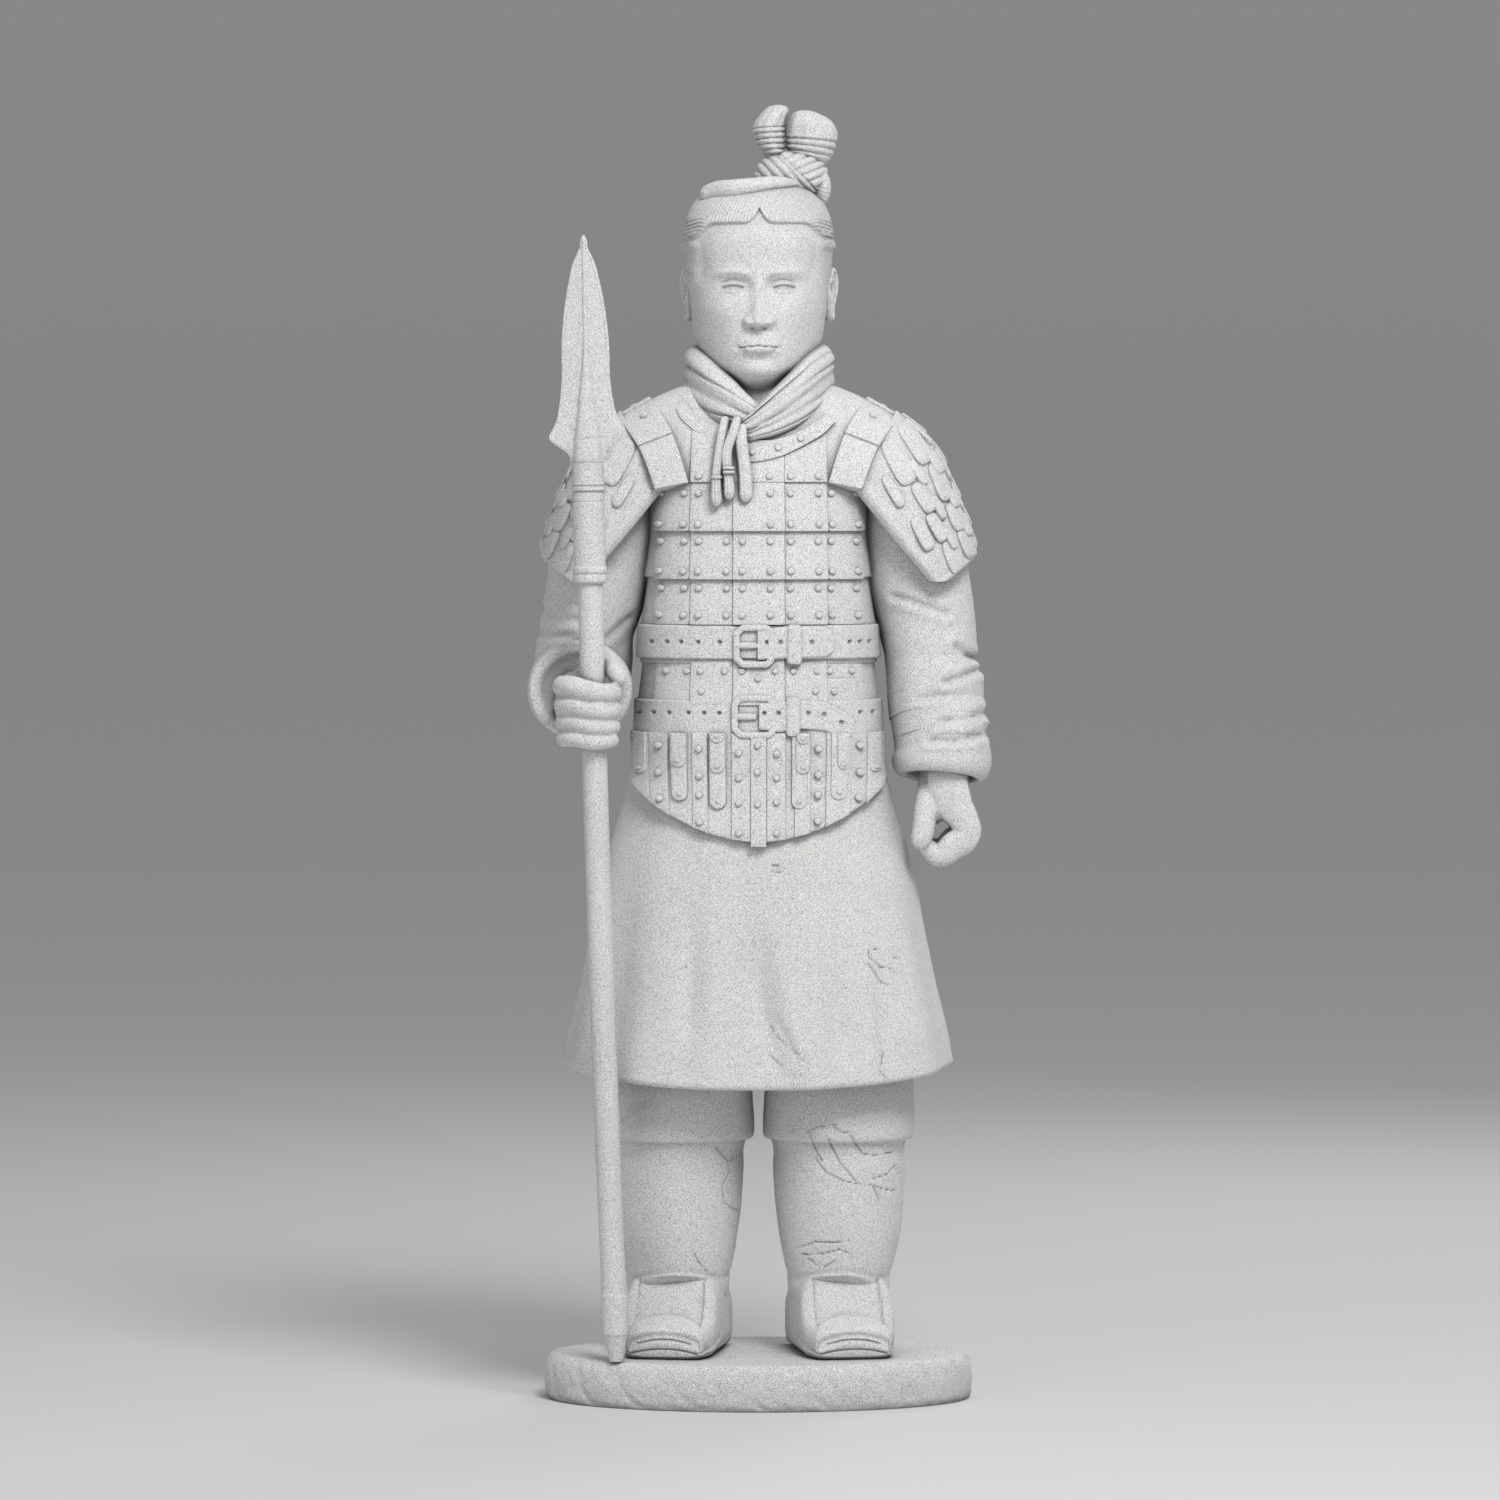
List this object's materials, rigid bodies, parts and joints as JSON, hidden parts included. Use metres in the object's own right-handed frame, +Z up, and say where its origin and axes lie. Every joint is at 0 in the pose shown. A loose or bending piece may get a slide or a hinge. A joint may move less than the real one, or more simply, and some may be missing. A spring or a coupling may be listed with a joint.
{
  "type": "terracotta warrior statue",
  "caption": "Life-size standing clay soldier in scale armour with belts, scarf and side topknot, holding an upright spear, on a low oval base.",
  "frame": {"origin": "centre of the base's underside", "axes": "+Z up along the standing figure; the figure faces -Y, and its left hand is at +X"},
  "size_m": [0.6633, 0.4382, 1.8495],
  "materials": {
    "grey_clay_base": "matt unglazed fired clay with a fine sandy grain",
    "grey_clay_figure": "matt unglazed fired clay with a fine sandy grain and hairline cracks",
    "grey_clay_spear": "matt unglazed fired clay with a fine sandy grain"
  },
  "bodies": {
    "root": {"base": "grey_clay_base", "warrior_figure": "grey_clay_figure", "spear": "grey_clay_spear"}
  },
  "joints": []
}
